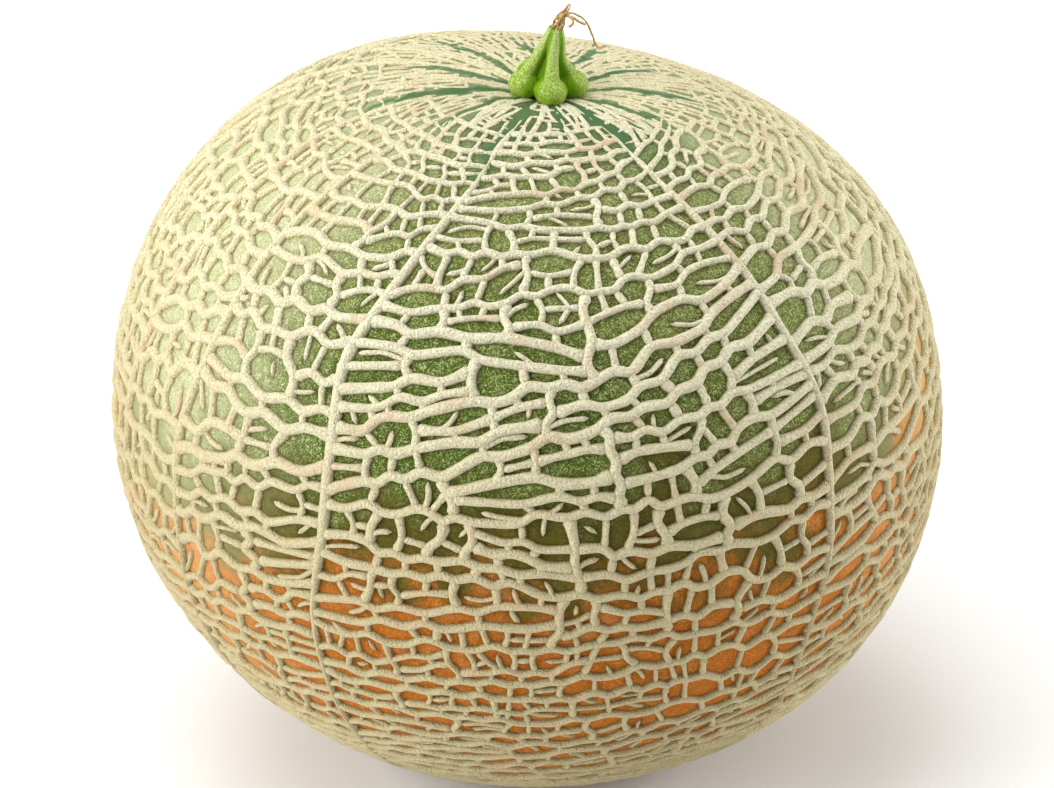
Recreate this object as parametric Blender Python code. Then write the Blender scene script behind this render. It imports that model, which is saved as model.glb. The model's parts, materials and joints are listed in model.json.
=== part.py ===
"""Netted cantaloupe melon: the fruit with its raised net, its green stalk and the withered vine end on it.

Lengths are in metres and angles in degrees, with +Z up and -Y the melon's front. The origin is the
middle of the small flat spot that the melon rests on.
"""

import math
import random

import bmesh
import bpy
from mathutils import Matrix, Vector, noise

MM = 0.001

# The fruit, measured on the crests of its net: half its width, and how far its crown and its base
# lie above and below its widest level. A fullness of 2 is an ellipse, and more fills the shoulder out.
HALF_WIDTH = 75.0 * MM
CROWN_RISE = 63.4 * MM
BASE_DROP = 72.0 * MM
CROWN_FULLNESS = 2.28
BASE_FULLNESS = 1.93

# Where the fruit grew out of round: (longitude, polar angle, amount, angle that it spreads over)
SWELLS = (
    (-150.0, 42.0, 0.9 * MM, 32.0),
    (118.0, 40.0, -3.5 * MM, 32.0),
    (180.0, 50.0, -4.1 * MM, 32.0),
    (-90.0, 60.0, -2.4 * MM, 32.0),
    (85.0, 130.0, 5.4 * MM, 36.0),
)

# The stalk stands in a shallow dimple, a little to the right and to the front of the middle.
RIGHT_LEAN = 4.3
FRONT_LEAN = 3.2
DIMPLE_DEPTH = 2.2 * MM
DIMPLE_SPREAD = 10.5

# The flat spot that the fruit rests on, and the height of its widest level above it
REST_RADIUS = 14.0 * MM
REST_POLAR = 180.0 - math.degrees(math.atan(REST_RADIUS / BASE_DROP))
CENTRE = Vector(
    (0.0, 0.0, BASE_DROP * (1 - (REST_RADIUS / HALF_WIDTH) ** BASE_FULLNESS) ** (1 / BASE_FULLNESS))
)

# The net: long seams run from crown to base, and cross cracks divide the skin between them.
SEAM_LONGITUDES = (-71.0, -54.5, -28.5, 4.0, 44.5, 82.0, 118.0, 154.0, 190.0, 222.0, 255.0)
SEAM_CROWN_DRIFT = 12.0
SEAM_POLARS = (24.0, 60.0, 98.0, 138.0)
CAP_POLAR = 4.4
CROWN_POLAR = 24.0
NET_SEED = 5
CELL_AREA = 156.0 * MM * MM
CROWN_CELL_AREA = 62.0 * MM * MM
CELL_ASPECT = 1.75
CROWN_CELL_ASPECT = 0.38
LEAST_CELL_SIDE = 6.4 * MM
LEAST_EDGE = 1.6 * MM
LEAST_SLIMNESS = 0.034
NET_HEIGHT = 1.5 * MM
CROWN_NET_HEIGHT = 0.45 * MM
RIDGE_HALF_WIDTH = 1.8 * MM
CROWN_RIDGE_HALF_WIDTH = 0.75 * MM
LEAST_FLOOR_EDGE = 0.35 * MM
SHRUNK_FLOOR = 0.6
WAVE_SHIFTS = ((3.1, 0.030), (9.0, 0.012))
NOISE_OFFSETS = ((7.1, 0.0, 0.0), (0.0, 23.7, 0.0), (0.0, 0.0, 41.3))

# The green stalk: (height, radius on a rib, radius in a groove) in millimetres, from its root plug
# to its neck, and how far the neck bends aside
RIBS = 5
STEPS_PER_RIB = 8
FRONT_RIB_TURN = 8.0
RIB_SHARPNESS = 0.8
STALK_RINGS = (
    (-4.3, 2.6, 2.6),
    (-0.1, 2.6, 2.6),
    (0.9, 5.5, 4.0),
    (1.5, 6.8, 4.4),
    (2.5, 7.3, 4.4),
    (3.5, 6.8, 4.0),
    (4.6, 5.5, 3.4),
    (5.8, 4.3, 2.7),
    (7.6, 3.3, 2.2),
    (9.8, 2.4, 1.7),
    (11.6, 1.9, 1.4),
    (12.6, 1.6, 1.25),
)
NECK_BEND = 0.7
CAP_FLOOR_RADIUS = 4.2 * MM
SOCKET_RADIUS = 2.9 * MM
SOCKET_DEPTH = 4.6 * MM

# The withered vine end: (right, back, up) from the crown and radius, all in millimetres, with its
# lowest ring at least 0.3 clear of the stalk's neck. Its strands run on the same axes.
WITHERED_RINGS = (
    (2.0, -0.7, 12.9, 1.2),
    (2.4, -0.7, 13.8, 1.4),
    (2.8, -0.6, 14.8, 1.1),
    (3.2, -0.5, 15.8, 1.15),
    (3.7, -0.4, 16.7, 0.7),
    (4.2, -0.4, 17.5, 0.35),
)
WITHERED_SIDES = 9
WITHERED_SEED = 5
WITHERED_ROUGHNESS = 0.24
STRAND_RADIUS = 0.36
STRAND_SIDES = 6
TENDRIL_ROUTE = (
    (2.8, -0.5, 14.7),
    (4.0, 0.2, 14.9),
    (5.3, 2.0, 13.8),
    (6.7, 4.4, 11.8),
    (8.1, 9.0, 7.0),
    (9.0, 13.0, 3.0),
    (9.7, 14.6, 1.9),
    (10.6, 15.6, 1.9),
)
SHORT_STRAND_ROUTE = ((2.8, -0.4, 15.0), (4.6, -0.1, 14.2), (5.7, 0.7, 13.1), (6.8, 1.9, 12.0))
HOOKED_STRAND_ROUTE = ((3.0, -0.8, 15.0), (4.5, -1.5, 14.5), (4.6, -2.0, 13.9), (3.9, -2.3, 13.4))

GREEN_RIND = (0.50, 0.52, 0.30)
STALK_GREEN = (0.27, 0.45, 0.04)
DRY_BROWN = (0.33, 0.20, 0.07)


def clear_scene():
    """Removes what the scene holds at the start."""
    for thing in list(bpy.data.objects):
        bpy.data.objects.remove(thing)


def finish(name, colour, roughness):
    """A plain matt material."""
    material = bpy.data.materials.new(name)
    material.use_nodes = True
    shader = material.node_tree.nodes["Principled BSDF"]
    shader.inputs["Base Color"].default_value = (*colour, 1.0)
    shader.inputs["Roughness"].default_value = roughness
    shader.inputs["Metallic"].default_value = 0.0
    return material


def add_object(name, bm, material, smooth=True):
    """Makes an object of a bmesh, which it frees."""
    bmesh.ops.recalc_face_normals(bm, faces=bm.faces)
    for face in bm.faces:
        face.smooth = smooth
    mesh = bpy.data.meshes.new(name)
    bm.to_mesh(mesh)
    bm.free()
    mesh.materials.append(material)
    thing = bpy.data.objects.new(name, mesh)
    bpy.context.scene.collection.objects.link(thing)
    return thing


def heading(longitude, polar):
    """The unit direction at a longitude, from the front to the right, and an angle down from the crown."""
    along, down = math.radians(longitude), math.radians(polar)
    return Vector((math.sin(down) * math.sin(along), -math.sin(down) * math.cos(along), math.cos(down)))


def longitude_of(direction):
    return math.degrees(math.atan2(direction.x, -direction.y))


def polar_of(direction):
    return math.degrees(math.acos(max(-1.0, min(1.0, direction.z))))


def turned(longitude, origin):
    """How far a longitude lies from another, the short way round."""
    return (longitude - origin + 180.0) % 360.0 - 180.0


def ramp(value, low, high):
    """Rises smoothly from 0 at low to 1 at high."""
    share = max(0.0, min(1.0, (value - low) / (high - low)))
    return share * share * (3 - 2 * share)


def crownward(polar, at_crown, elsewhere):
    """A value that differs on the crown, where the net is flat, fine and drawn out from the stalk."""
    return at_crown + (elsewhere - at_crown) * ramp(polar, CROWN_POLAR - 4, CROWN_POLAR + 16)


def lean_at(height):
    """The turn of the net at a height on the unit sphere, which is full at the crown and none at the base."""
    share = 0.5 + 0.5 * height
    to_right = Matrix.Rotation(math.radians(RIGHT_LEAN * share), 3, "Y")
    return Matrix.Rotation(math.radians(FRONT_LEAN * share), 3, "X") @ to_right


def leaned(direction):
    """Tilts the net's pole to where the stalk stands, and leaves the base alone."""
    return lean_at(direction.z) @ direction


def crest_point(direction):
    """The point on the crests of the net that lies in a direction of the net's own frame."""
    towards = leaned(direction).normalized()
    reach, fullness = (CROWN_RISE, CROWN_FULLNESS) if towards.z > 0 else (BASE_DROP, BASE_FULLNESS)
    level = math.hypot(towards.x, towards.y)
    radius = ((level / HALF_WIDTH) ** fullness + (abs(towards.z) / reach) ** fullness) ** (-1 / fullness)
    for longitude, polar, amount, spread in SWELLS:
        away = math.degrees(towards.angle(heading(longitude, polar), 0.0))
        radius += amount * math.exp(-((away / spread) ** 2))
    radius -= DIMPLE_DEPTH * math.exp(-((polar_of(direction) / DIMPLE_SPREAD) ** 2))
    point = CENTRE + towards * radius
    point.z = max(0.0, point.z)
    return point


def sunk_point(direction, depth):
    """A point under the crests by a depth along the way to the fruit's middle."""
    crest = crest_point(direction)
    return crest + (CENTRE - crest).normalized() * depth


def skin_depth(direction):
    """How far the skin lies under the crests of the net there."""
    return crownward(polar_of(direction), CROWN_NET_HEIGHT, NET_HEIGHT)


def seam_mesh():
    """Gores between the seams, from the ring round the stalk to the ring round the flat spot."""
    bm = bmesh.new()
    seams = []
    for longitude in SEAM_LONGITUDES:
        drift = SEAM_CROWN_DRIFT * math.sin(math.radians(3 * longitude))
        points = [heading(longitude + drift, CAP_POLAR)]
        points += [heading(longitude + drift * (1 - ramp(p, 10, 60)), p) for p in SEAM_POLARS]
        points.append(heading(longitude, REST_POLAR))
        seams.append([bm.verts.new(point) for point in points])
    gores = []
    for left, right in zip(seams, seams[1:] + seams[:1]):
        gores.append(bm.faces.new(left + right[::-1]))
    cap = bm.faces.new([seam[0] for seam in seams])
    rest = bm.faces.new([seam[-1] for seam in seams])
    return bm, gores, cap, rest


def flattened(cell):
    """A cell's corners as distances east and south of its middle, and that middle's polar angle."""
    polars = [polar_of(corner.co) for corner in cell.verts]
    middle = sum(polars) / len(polars)
    centre = Vector((0.0, 0.0, 0.0))
    for corner in cell.verts:
        centre += corner.co
    origin = longitude_of(centre)
    width = math.radians(1) * HALF_WIDTH * math.sin(math.radians(middle))
    height = math.radians(1) * HALF_WIDTH
    corners = [
        (turned(longitude_of(corner.co), origin) * width, (polar - middle) * height)
        for corner, polar in zip(cell.verts, polars)
    ]
    return corners, middle


def area_of(corners):
    """The area of a flat polygon."""
    total = 0.0
    for (x0, y0), (x1, y1) in zip(corners, corners[1:] + corners[:1]):
        total += x0 * y1 - x1 * y0
    return abs(total) / 2


def crossings(corners, origin, slope):
    """Where a straight crack leaves a polygon ahead and behind: (distance, edge, share of that edge)."""
    along = (math.cos(slope), math.sin(slope))
    offsets = [along[0] * (y - origin[1]) - along[1] * (x - origin[0]) for x, y in corners]
    found = []
    for i, (here, after) in enumerate(zip(offsets, offsets[1:] + offsets[:1])):
        if (here > 0) == (after > 0):
            continue
        share = here / (here - after)
        x0, y0 = corners[i]
        x1, y1 = corners[(i + 1) % len(corners)]
        x, y = x0 + (x1 - x0) * share, y0 + (y1 - y0) * share
        clear = LEAST_EDGE / max(math.hypot(x1 - x0, y1 - y0), 1e-9)
        share = round(share) if clear > 0.5 else max(clear, min(1 - clear, share))
        found.append(((x - origin[0]) * along[0] + (y - origin[1]) * along[1], i, share))
    ahead = min((f for f in found if f[0] > 0), default=None)
    behind = max((f for f in found if f[0] <= 0), default=None)
    return ahead, behind


def point_on_edge(loop, share):
    """The corner on an edge of a cell where a crack ends, new unless the edge is short."""
    if share in (0, 1):
        return loop.link_loop_next.vert if share else loop.vert
    start, end = loop.vert.co.copy(), loop.link_loop_next.vert.co.copy()
    polar = polar_of(start) + (polar_of(end) - polar_of(start)) * share
    step = turned(longitude_of(end), longitude_of(start)) * share
    _, corner = bmesh.utils.edge_split(loop.edge, loop.vert, share)
    corner.co = heading(longitude_of(start) + step, polar)
    return corner


def slimness(corners):
    """How stout a flat polygon is: about 0.06 for a square, and less the more drawn out it is."""
    perimeter = sum(math.dist(here, after) for here, after in zip(corners, corners[1:] + corners[:1]))
    return area_of(corners) / perimeter**2


def halves(corners, ahead, behind):
    """The two polygons that a crack would leave."""
    ends = []
    for _, edge, share in (ahead, behind):
        x0, y0 = corners[edge]
        x1, y1 = corners[(edge + 1) % len(corners)]
        ends.append((x0 + (x1 - x0) * share, y0 + (y1 - y0) * share))
    sides = []
    for (_, start, _), (_, stop, _), pair in ((ahead, behind, ends), (behind, ahead, ends[::-1])):
        steps = (stop - start) % len(corners)
        between = [corners[(start + 1 + i) % len(corners)] for i in range(steps)]
        sides.append([pair[0], *between, pair[1]])
    return sides


def crack_in_two(cell, rng):
    """Cracks a cell across its longer way and returns the new cell, or None if it stays whole."""
    corners, middle = flattened(cell)
    if area_of(corners) < crownward(middle, CROWN_CELL_AREA, CELL_AREA) * rng.uniform(0.7, 1.45):
        return None
    width = max(x for x, _ in corners) - min(x for x, _ in corners)
    height = max(y for _, y in corners) - min(y for _, y in corners)
    aspect = crownward(middle, CROWN_CELL_ASPECT, CELL_ASPECT)
    least = crownward(middle, 0.62, 1.0) * LEAST_CELL_SIDE
    level = height * aspect > width * rng.uniform(0.85, 1.15)
    stoutness = min(LEAST_SLIMNESS, slimness(corners))
    for turn in [level] * 6 + [not level] * 3:
        if (height if turn else width) < 2 * least:
            continue
        centre = [sum(axis) / len(corners) for axis in zip(*corners)]
        centre[0] += width * rng.uniform(-0.1, 0.1)
        centre[1] += height * rng.uniform(-0.1, 0.1)
        slope = (0.0 if turn else math.pi / 2) + math.radians(rng.gauss(0, 7))
        ahead, behind = crossings(corners, centre, slope)
        if ahead is None or behind is None:
            continue
        if min(slimness(side) for side in halves(corners, ahead, behind)) < stoutness:
            continue
        loops = list(cell.loops)
        first = point_on_edge(loops[ahead[1]], ahead[2])
        second = point_on_edge(loops[behind[1]], behind[2])
        return bmesh.utils.face_split(cell, first, second)[0]
    return None


def noise_shift(place):
    """A smoothly varying random shift in three directions."""
    return Vector([noise.noise(place + Vector(offset)) for offset in NOISE_OFFSETS])


def wave(direction):
    """Shifts a direction a little, so that no crack runs straight."""
    shift = Vector((0.0, 0.0, 0.0))
    for frequency, amount in WAVE_SHIFTS:
        shift += noise_shift(direction * frequency) * amount
    polar = polar_of(direction)
    hold = ramp(polar, CAP_POLAR, 2 * CAP_POLAR) * ramp(-polar, -REST_POLAR, -150)
    return (direction + shift * hold).normalized()


def flat_frame(cell):
    """The middle of a cell and two directions that span its plane."""
    middle = cell.calc_center_median()
    across = (cell.verts[0].co - middle).normalized()
    along = cell.normal.cross(across).normalized()
    across = along.cross(cell.normal)
    return middle, across, along


def offset_outline(corners, distance):
    """An outline moved inward by a distance, corner by corner."""
    moved = []
    for i, corner in enumerate(corners):
        before = (corner - corners[i - 1]).normalized()
        after = (corners[(i + 1) % len(corners)] - corner).normalized()
        side = Vector((-before.y - after.y, before.x + after.x)).normalized()
        square = max(0.55, side.dot(Vector((-after.y, after.x))))
        moved.append(corner + side * (distance / square))
    return moved


def floor_outline(corners, distance):
    """The outline of a cell's floor, and which of its corners each corner of the cell joins."""
    groups = [[i] for i in range(len(corners))]
    inner = []
    while len(groups) > 2:
        outline = [sum((corners[i] for i in group), Vector((0.0, 0.0))) / len(group) for group in groups]
        inner = offset_outline(outline, distance)
        worst, folded = LEAST_FLOOR_EDGE, None
        for i, point in enumerate(inner):
            step = outline[(i + 1) % len(outline)] - outline[i]
            kept = (inner[(i + 1) % len(inner)] - point).dot(step.normalized())
            if kept < worst:
                worst, folded = kept, i
        if folded is None:
            break
        after = (folded + 1) % len(groups)
        groups[folded] = groups[folded] + groups[after]
        del groups[after]
    clear = least_clearance(inner, corners) > 0.6 * distance
    if len(groups) > 2 and clear and not crosses_itself(inner):
        return inner, groups
    if distance > 0.5 * MM:
        return floor_outline(corners, 0.8 * distance)
    return [corner * SHRUNK_FLOOR for corner in corners], [[i] for i in range(len(corners))]


def side_of(point, start, end):
    """Positive where a point lies to the left of a line."""
    return (end - start).cross(point - start)


def crosses_itself(outline):
    """Whether two edges of an outline cross."""
    edges = [(outline[i - 1], point) for i, point in enumerate(outline)]
    for i, (a, b) in enumerate(edges):
        for c, d in edges[i + 2 :]:
            if a in (c, d) or b in (c, d):
                continue
            apart = side_of(c, a, b) * side_of(d, a, b) > 0 or side_of(a, c, d) * side_of(b, c, d) > 0
            if not apart:
                return True
    return False


def least_clearance(points, corners):
    """The least distance from a set of points to an outline."""
    least = math.inf
    for i, corner in enumerate(corners):
        edge = corner - corners[i - 1]
        for point in points:
            share = max(0.0, min(1.0, (point - corners[i - 1]).dot(edge) / edge.length_squared))
            least = min(least, (point - corners[i - 1] - edge * share).length)
    return least


def sink_floor(bm, cell):
    """Walls a cell in with the slopes of its ridges and lays its floor on the skin."""
    polar = polar_of(unleaned(cell.calc_center_median()))
    middle, across, along = flat_frame(cell)
    corners = [Vector(((v.co - middle).dot(across), (v.co - middle).dot(along))) for v in cell.verts]
    half_width = crownward(polar, CROWN_RIDGE_HALF_WIDTH, RIDGE_HALF_WIDTH)
    inner, groups = floor_outline(corners, half_width)
    floor = []
    joined = {}
    for point, group in zip(inner, groups):
        towards = unleaned(middle + across * point.x + along * point.y)
        floor.append(bm.verts.new(sunk_point(towards, skin_depth(towards))))
        for i in group:
            joined[i] = floor[-1]
    rim = list(cell.verts)
    for i, corner in enumerate(rim):
        after = (i + 1) % len(rim)
        wall = [corner, rim[after], joined[after]]
        if joined[i] is not joined[after]:
            wall.append(joined[i])
        bm.faces.new(wall)
    bm.faces.new(floor)
    bm.faces.remove(cell)


def unleaned(point):
    """The direction in the net's own frame that a point lies in."""
    towards = (point - CENTRE).normalized()
    return lean_at(towards.z).transposed() @ towards


def cut_socket(bm, cap):
    """Opens a round socket in the crown for the stalk's root plug."""
    crown, axis, _, _ = crown_frame()
    rims = [list(cap.verts), [], [], []]
    for corner in cap.verts:
        flat = (corner.co - crown) - axis * (corner.co - crown).dot(axis)
        side = flat.normalized()
        rims[1].append(bm.verts.new(crown + side * CAP_FLOOR_RADIUS - axis * CROWN_NET_HEIGHT))
        rims[2].append(bm.verts.new(crown + side * SOCKET_RADIUS - axis * CROWN_NET_HEIGHT))
        rims[3].append(bm.verts.new(crown + side * SOCKET_RADIUS - axis * SOCKET_DEPTH))
    bm.faces.remove(cap)
    for outer, inner in zip(rims, rims[1:]):
        for i, corner in enumerate(outer):
            after = (i + 1) % len(outer)
            bm.faces.new((corner, outer[after], inner[after], inner[i]))
    bm.faces.new(rims[3])


def crown_frame():
    """The point where the stalk stands, the way that the stalk points, and its right and its back."""
    crown = crest_point(Vector((0.0, 0.0, 1.0)))
    axis = leaned(Vector((0.0, 0.0, 1.0))).normalized()
    right = Vector((0.0, 1.0, 0.0)).cross(axis).normalized()
    return crown, axis, right, axis.cross(right)


def skin_rings(bm, rings):
    """Joins a row of rings of corners into a closed skin with a flat end at either end."""
    for lower, upper in zip(rings, rings[1:]):
        for i, corner in enumerate(lower):
            after = (i + 1) % len(lower)
            bm.faces.new((corner, lower[after], upper[after], upper[i]))
    bm.faces.new(rings[0][::-1])
    bm.faces.new(rings[-1])


def ring(bm, centre, right, back, radii):
    """A ring of corners round a centre, which starts at the front and goes round by the right."""
    corners = []
    for i, radius in enumerate(radii):
        angle = 2 * math.pi * i / len(radii)
        corners.append(bm.verts.new(centre + (right * math.sin(angle) - back * math.cos(angle)) * radius))
    return corners


def make_stalk():
    """The green stalk, with a bulb at the foot of each rib and a plug in the fruit's socket."""
    bm = bmesh.new()
    crown, axis, right, back = crown_frame()
    rings = []
    neck = STALK_RINGS[-1][0]
    for height, rib, groove in STALK_RINGS:
        radii = []
        for i in range(RIBS * STEPS_PER_RIB):
            turn = math.pi * i / STEPS_PER_RIB - math.radians(FRONT_RIB_TURN) * RIBS / 2
            radii.append((groove + (rib - groove) * abs(math.cos(turn)) ** RIB_SHARPNESS) * MM)
        bend = NECK_BEND * max(0.0, height / neck) ** 2
        rings.append(ring(bm, crown + (axis * height + right * bend) * MM, right, back, radii))
    skin_rings(bm, rings)
    return add_object("stalk", bm, finish("green_stalk", STALK_GREEN, 0.6))


def curve_through(points, steps):
    """Points along a smooth curve that passes through the given ones."""
    ends = [points[0] * 2 - points[1], *points, points[-1] * 2 - points[-2]]
    curve = []
    for before, here, after, later in zip(ends, ends[1:], ends[2:], ends[3:]):
        for i in range(steps):
            t = i / steps
            swing = (after - before) * t
            bend = (before * 2 - here * 5 + after * 4 - later) * t**2
            twist = (here * 3 - before - after * 3 + later) * t**3
            curve.append(here + (swing + bend + twist) / 2)
    return [*curve, points[-1]]


def make_strand(name, route):
    """A thin round strand along a route of millimetres from the crown."""
    bm = bmesh.new()
    crown = crown_frame()[0]
    line = curve_through([crown + Vector(point) * MM for point in route], 3)
    rings = []
    side = Vector((0.0, 1.0, 0.0))
    for i, point in enumerate(line):
        along = (line[min(i + 1, len(line) - 1)] - line[max(i - 1, 0)]).normalized()
        side = (side - along * side.dot(along)).normalized()
        rings.append(ring(bm, point, along.cross(side), side, [STRAND_RADIUS * MM] * STRAND_SIDES))
    skin_rings(bm, rings)
    return add_object(name, bm, finish(name, DRY_BROWN, 0.85))


def merge(body, tools):
    """Joins solids into one and removes the others."""
    for tool in tools:
        union = body.modifiers.new("union", "BOOLEAN")
        union.operation = "UNION"
        union.solver = "EXACT"
        union.object = tool
        tool.hide_render = True
        tool.display_type = "WIRE"
    bpy.context.view_layer.objects.active = body
    for union in list(body.modifiers):
        bpy.ops.object.modifier_apply(modifier=union.name)
    for tool in tools:
        bpy.data.objects.remove(tool)


def make_vine_end():
    """The withered end of the vine: a crumpled sheath, a long tendril and two short strands."""
    rng = random.Random(WITHERED_SEED)
    bm = bmesh.new()
    crown, _, right, back = crown_frame()
    rings = []
    for x, y, z, radius in WITHERED_RINGS:
        rough = [rng.uniform(1 - WITHERED_ROUGHNESS, 1 + WITHERED_ROUGHNESS) for _ in range(WITHERED_SIDES)]
        radii = [radius * share * MM for share in rough]
        rings.append(ring(bm, crown + Vector((x, y, z)) * MM, right, back, radii))
    skin_rings(bm, rings)
    sheath = add_object("vine_end", bm, finish("withered_vine", DRY_BROWN, 0.85))
    routes = {"tendril": TENDRIL_ROUTE, "short": SHORT_STRAND_ROUTE, "hooked": HOOKED_STRAND_ROUTE}
    merge(sheath, [make_strand(name, route) for name, route in routes.items()])
    return sheath


def make_melon():
    """The whole fruit as one solid, with its net raised from its skin."""
    rng = random.Random(NET_SEED)
    bm, waiting, cap, rest = seam_mesh()
    cells = []
    while waiting:
        cell = waiting.pop()
        made = crack_in_two(cell, rng)
        if made is None:
            cells.append(cell)
        else:
            waiting += [cell, made]
    for corner in bm.verts:
        corner.co = crest_point(wave(corner.co))
    for corner in rest.verts:
        corner.co.z = 0.0
    bm.normal_update()
    for cell in cells:
        sink_floor(bm, cell)
    cut_socket(bm, cap)
    return add_object("melon", bm, finish("netted_rind", GREEN_RIND, 0.7), smooth=False)


def main():
    clear_scene()
    make_melon()
    make_stalk()
    make_vine_end()


main()
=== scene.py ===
"""A netted cantaloupe melon with its looks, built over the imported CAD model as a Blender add-on.

The fruit's skin, its corky net, the green stalk and the withered vine end are each made by an
operator of their own, and one more sets the stage. Directions on the fruit are unit vectors in the
net's own frame, whose pole is the place where the stalk stands.
"""

import json
import math
import random
from collections import defaultdict, namedtuple

import bmesh
import bpy
import numpy as np
from bpy.props import FloatProperty, FloatVectorProperty, IntProperty, PointerProperty
from bpy.types import Operator, Panel, PropertyGroup
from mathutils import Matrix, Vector, kdtree, noise

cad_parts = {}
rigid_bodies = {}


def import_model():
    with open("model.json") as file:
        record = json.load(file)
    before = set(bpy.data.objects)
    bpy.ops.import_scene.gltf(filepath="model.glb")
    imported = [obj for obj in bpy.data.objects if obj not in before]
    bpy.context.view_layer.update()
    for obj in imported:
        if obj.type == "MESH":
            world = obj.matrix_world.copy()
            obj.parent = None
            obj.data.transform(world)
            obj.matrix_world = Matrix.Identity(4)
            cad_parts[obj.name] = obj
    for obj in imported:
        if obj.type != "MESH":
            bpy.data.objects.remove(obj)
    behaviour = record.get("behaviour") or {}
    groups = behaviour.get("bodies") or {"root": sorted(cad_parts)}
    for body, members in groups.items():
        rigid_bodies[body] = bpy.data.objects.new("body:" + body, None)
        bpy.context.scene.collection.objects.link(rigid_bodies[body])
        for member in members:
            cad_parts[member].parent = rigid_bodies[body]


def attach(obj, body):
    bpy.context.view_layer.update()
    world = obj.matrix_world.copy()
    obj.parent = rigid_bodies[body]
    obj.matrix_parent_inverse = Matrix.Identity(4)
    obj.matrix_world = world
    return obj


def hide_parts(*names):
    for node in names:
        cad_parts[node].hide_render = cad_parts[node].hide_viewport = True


bl_info = {
    "name": "Netted melon",
    "blender": (4, 5, 0),
    "version": (1, 0, 0),
    "location": "View3D > Sidebar > Melon",
    "description": "Makes a netted cantaloupe melon with its stalk and withered vine end",
    "category": "Add Mesh",
}

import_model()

MM = 0.001
BELT_RADIUS = 73.0  # In millimetres, where cells are measured as if they were flat
MEAN_RADIUS = 72.0  # In millimetres, where ridges are measured on the unit sphere
OVERLAP = 0.45  # How many millimetres a ridge reaches into the ones that it joins
BELT_POLAR = 82  # Polar angle where the net is parted into upper and lower pieces
BASE_RING = 0.004  # Metres from the axis to where the seams end in the flat spot
SKIN_CUTS = 127  # Cuts across each face of the cube that the skin is made from
SHEATH_FIBRES = 15  # Fibres in the sheath of the vine end
STALK_HEIGHT = 12.6 * MM
PHOTO_WIDTH, PHOTO_HEIGHT = 1054, 788

# A ridge of the net: its path of unit directions, the distance along it at each, its half-width, its
# share of the full height, the group that it belongs to and a number that sets its tone
Ridge = namedtuple("Ridge", "path along half_width rise group tone")

# Where the fruit grew out of round: (longitude, polar angle, amount, angle that it spreads over)
SWELLS = (
    (-150.0, 42.0, 0.9 * MM, 32.0), (118.0, 40.0, -3.5 * MM, 32.0),
    (180.0, 50.0, -4.1 * MM, 32.0), (-90.0, 60.0, -2.4 * MM, 32.0),
    (85.0, 130.0, 5.4 * MM, 36.0),
)

# Long seams of the net, and how each drifts between the crown and the belt
SEAMS = (
    (-71.0, -6.0), (-53.5, -2.0), (-28.5, 11.0), (45.0, -14.0), (82.0, 5.0),
    (118.0, -8.0), (160.0, 9.0), (205.0, -7.0), (243.0, 6.0),
)

# Bare dark stripes on the crown: (longitude, half its width, polar angle that it reaches)
STRIPES = (
    (-21.0, 3.4, 33.0), (9.0, 3.0, 15.0), (36.0, 3.8, 22.0), (66.0, 3.2, 20.0),
    (97.0, 2.8, 25.0), (128.0, 3.6, 20.0), (158.0, 2.8, 22.0), (190.0, 3.6, 20.0),
    (222.0, 3.0, 24.0), (252.0, 3.6, 22.0), (281.0, 4.2, 27.0), (308.0, 3.0, 20.0),
)

# Polar angles of the joints down a seam
SEAM_STEPS = (4.0, 16.0, 30.0, 45.0, 60.0, 80.0, 100.0, 120.0, 140.0, 160.0)

# The bends of every crack: (frequency, amount)
WAVES = ((3.1, 0.034), (7.5, 0.013), (17.0, 0.0045))

# A rib of the stalk in millimetres: (distance from the axis, height over the crown, radius)
RIB_ROUTE = (
    (4.5, 2.6, 1.7), (4.15, 4.3, 1.45), (3.4, 5.7, 1.2), (2.45, 7.6, 1.08),
    (1.5, 9.8, 0.95), (0.9, 11.6, 0.84), (0.6, 12.6, 0.74),
)

# For each rib, from the front round by the right: how much it keeps to the axis halfway up, and its
# bulb's share of the full distance from the axis
RIB_HUGS = (0.1, 0.38, 0.2, 0.3, 0.0)
BULB_SHARES = (1.0, 1.0, 0.9, 0.8, 1.0)

# The stalk's core in millimetres: (height over the crown, radius)
CORE_ROUTE = ((-0.8, 3.2), (1.6, 3.9), (3.4, 3.3), (5.2, 2.4), (7.6, 1.75), (10.0, 1.35), (12.5, 1.05))

# How far the ribs' crests stand from the axis in millimetres, and at which heights over the crown
CREST_HEIGHTS = (-1, 1, 2.5, 4.3, 5.7, 7.6, 9.8, 11.6, 12.7)
CREST_REACHES = (5, 6.6, 7.3, 5.6, 4.7, 3.7, 2.65, 1.95, 1.6)

# Strands of the vine in millimetres right, back and up from the crown point, and their radii
VINE_STRANDS = (
    ((2.8, -0.5, 14.7), (4.0, 0.2, 14.9), (5.3, 2.0, 13.8), (6.7, 4.4, 11.8),
     (8.1, 9.0, 7.0), (9.0, 13.0, 3.0), (9.7, 14.6, 1.9), (10.6, 15.6, 1.9)),
    ((2.8, -0.4, 15.0), (4.6, -0.1, 14.2), (5.7, 0.7, 13.1), (6.8, 1.9, 12.0)),
    ((3.0, -0.8, 15.0), (4.5, -1.5, 14.5), (4.6, -2.0, 13.9), (3.9, -2.3, 13.4)),
)
VINE_RADII = (0.2, 0.25, 0.24)

# The sheath that the strands leave: (right, back, up, radius) in millimetres
SHEATH = (
    (1.5, -0.8, 12.2, 0.7), (1.9, -0.7, 13.0, 0.95), (2.3, -0.7, 14.0, 0.8),
    (2.8, -0.6, 15.0, 0.9), (3.4, -0.5, 16.0, 0.65), (4.0, -0.4, 17.0, 0.25),
)

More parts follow.
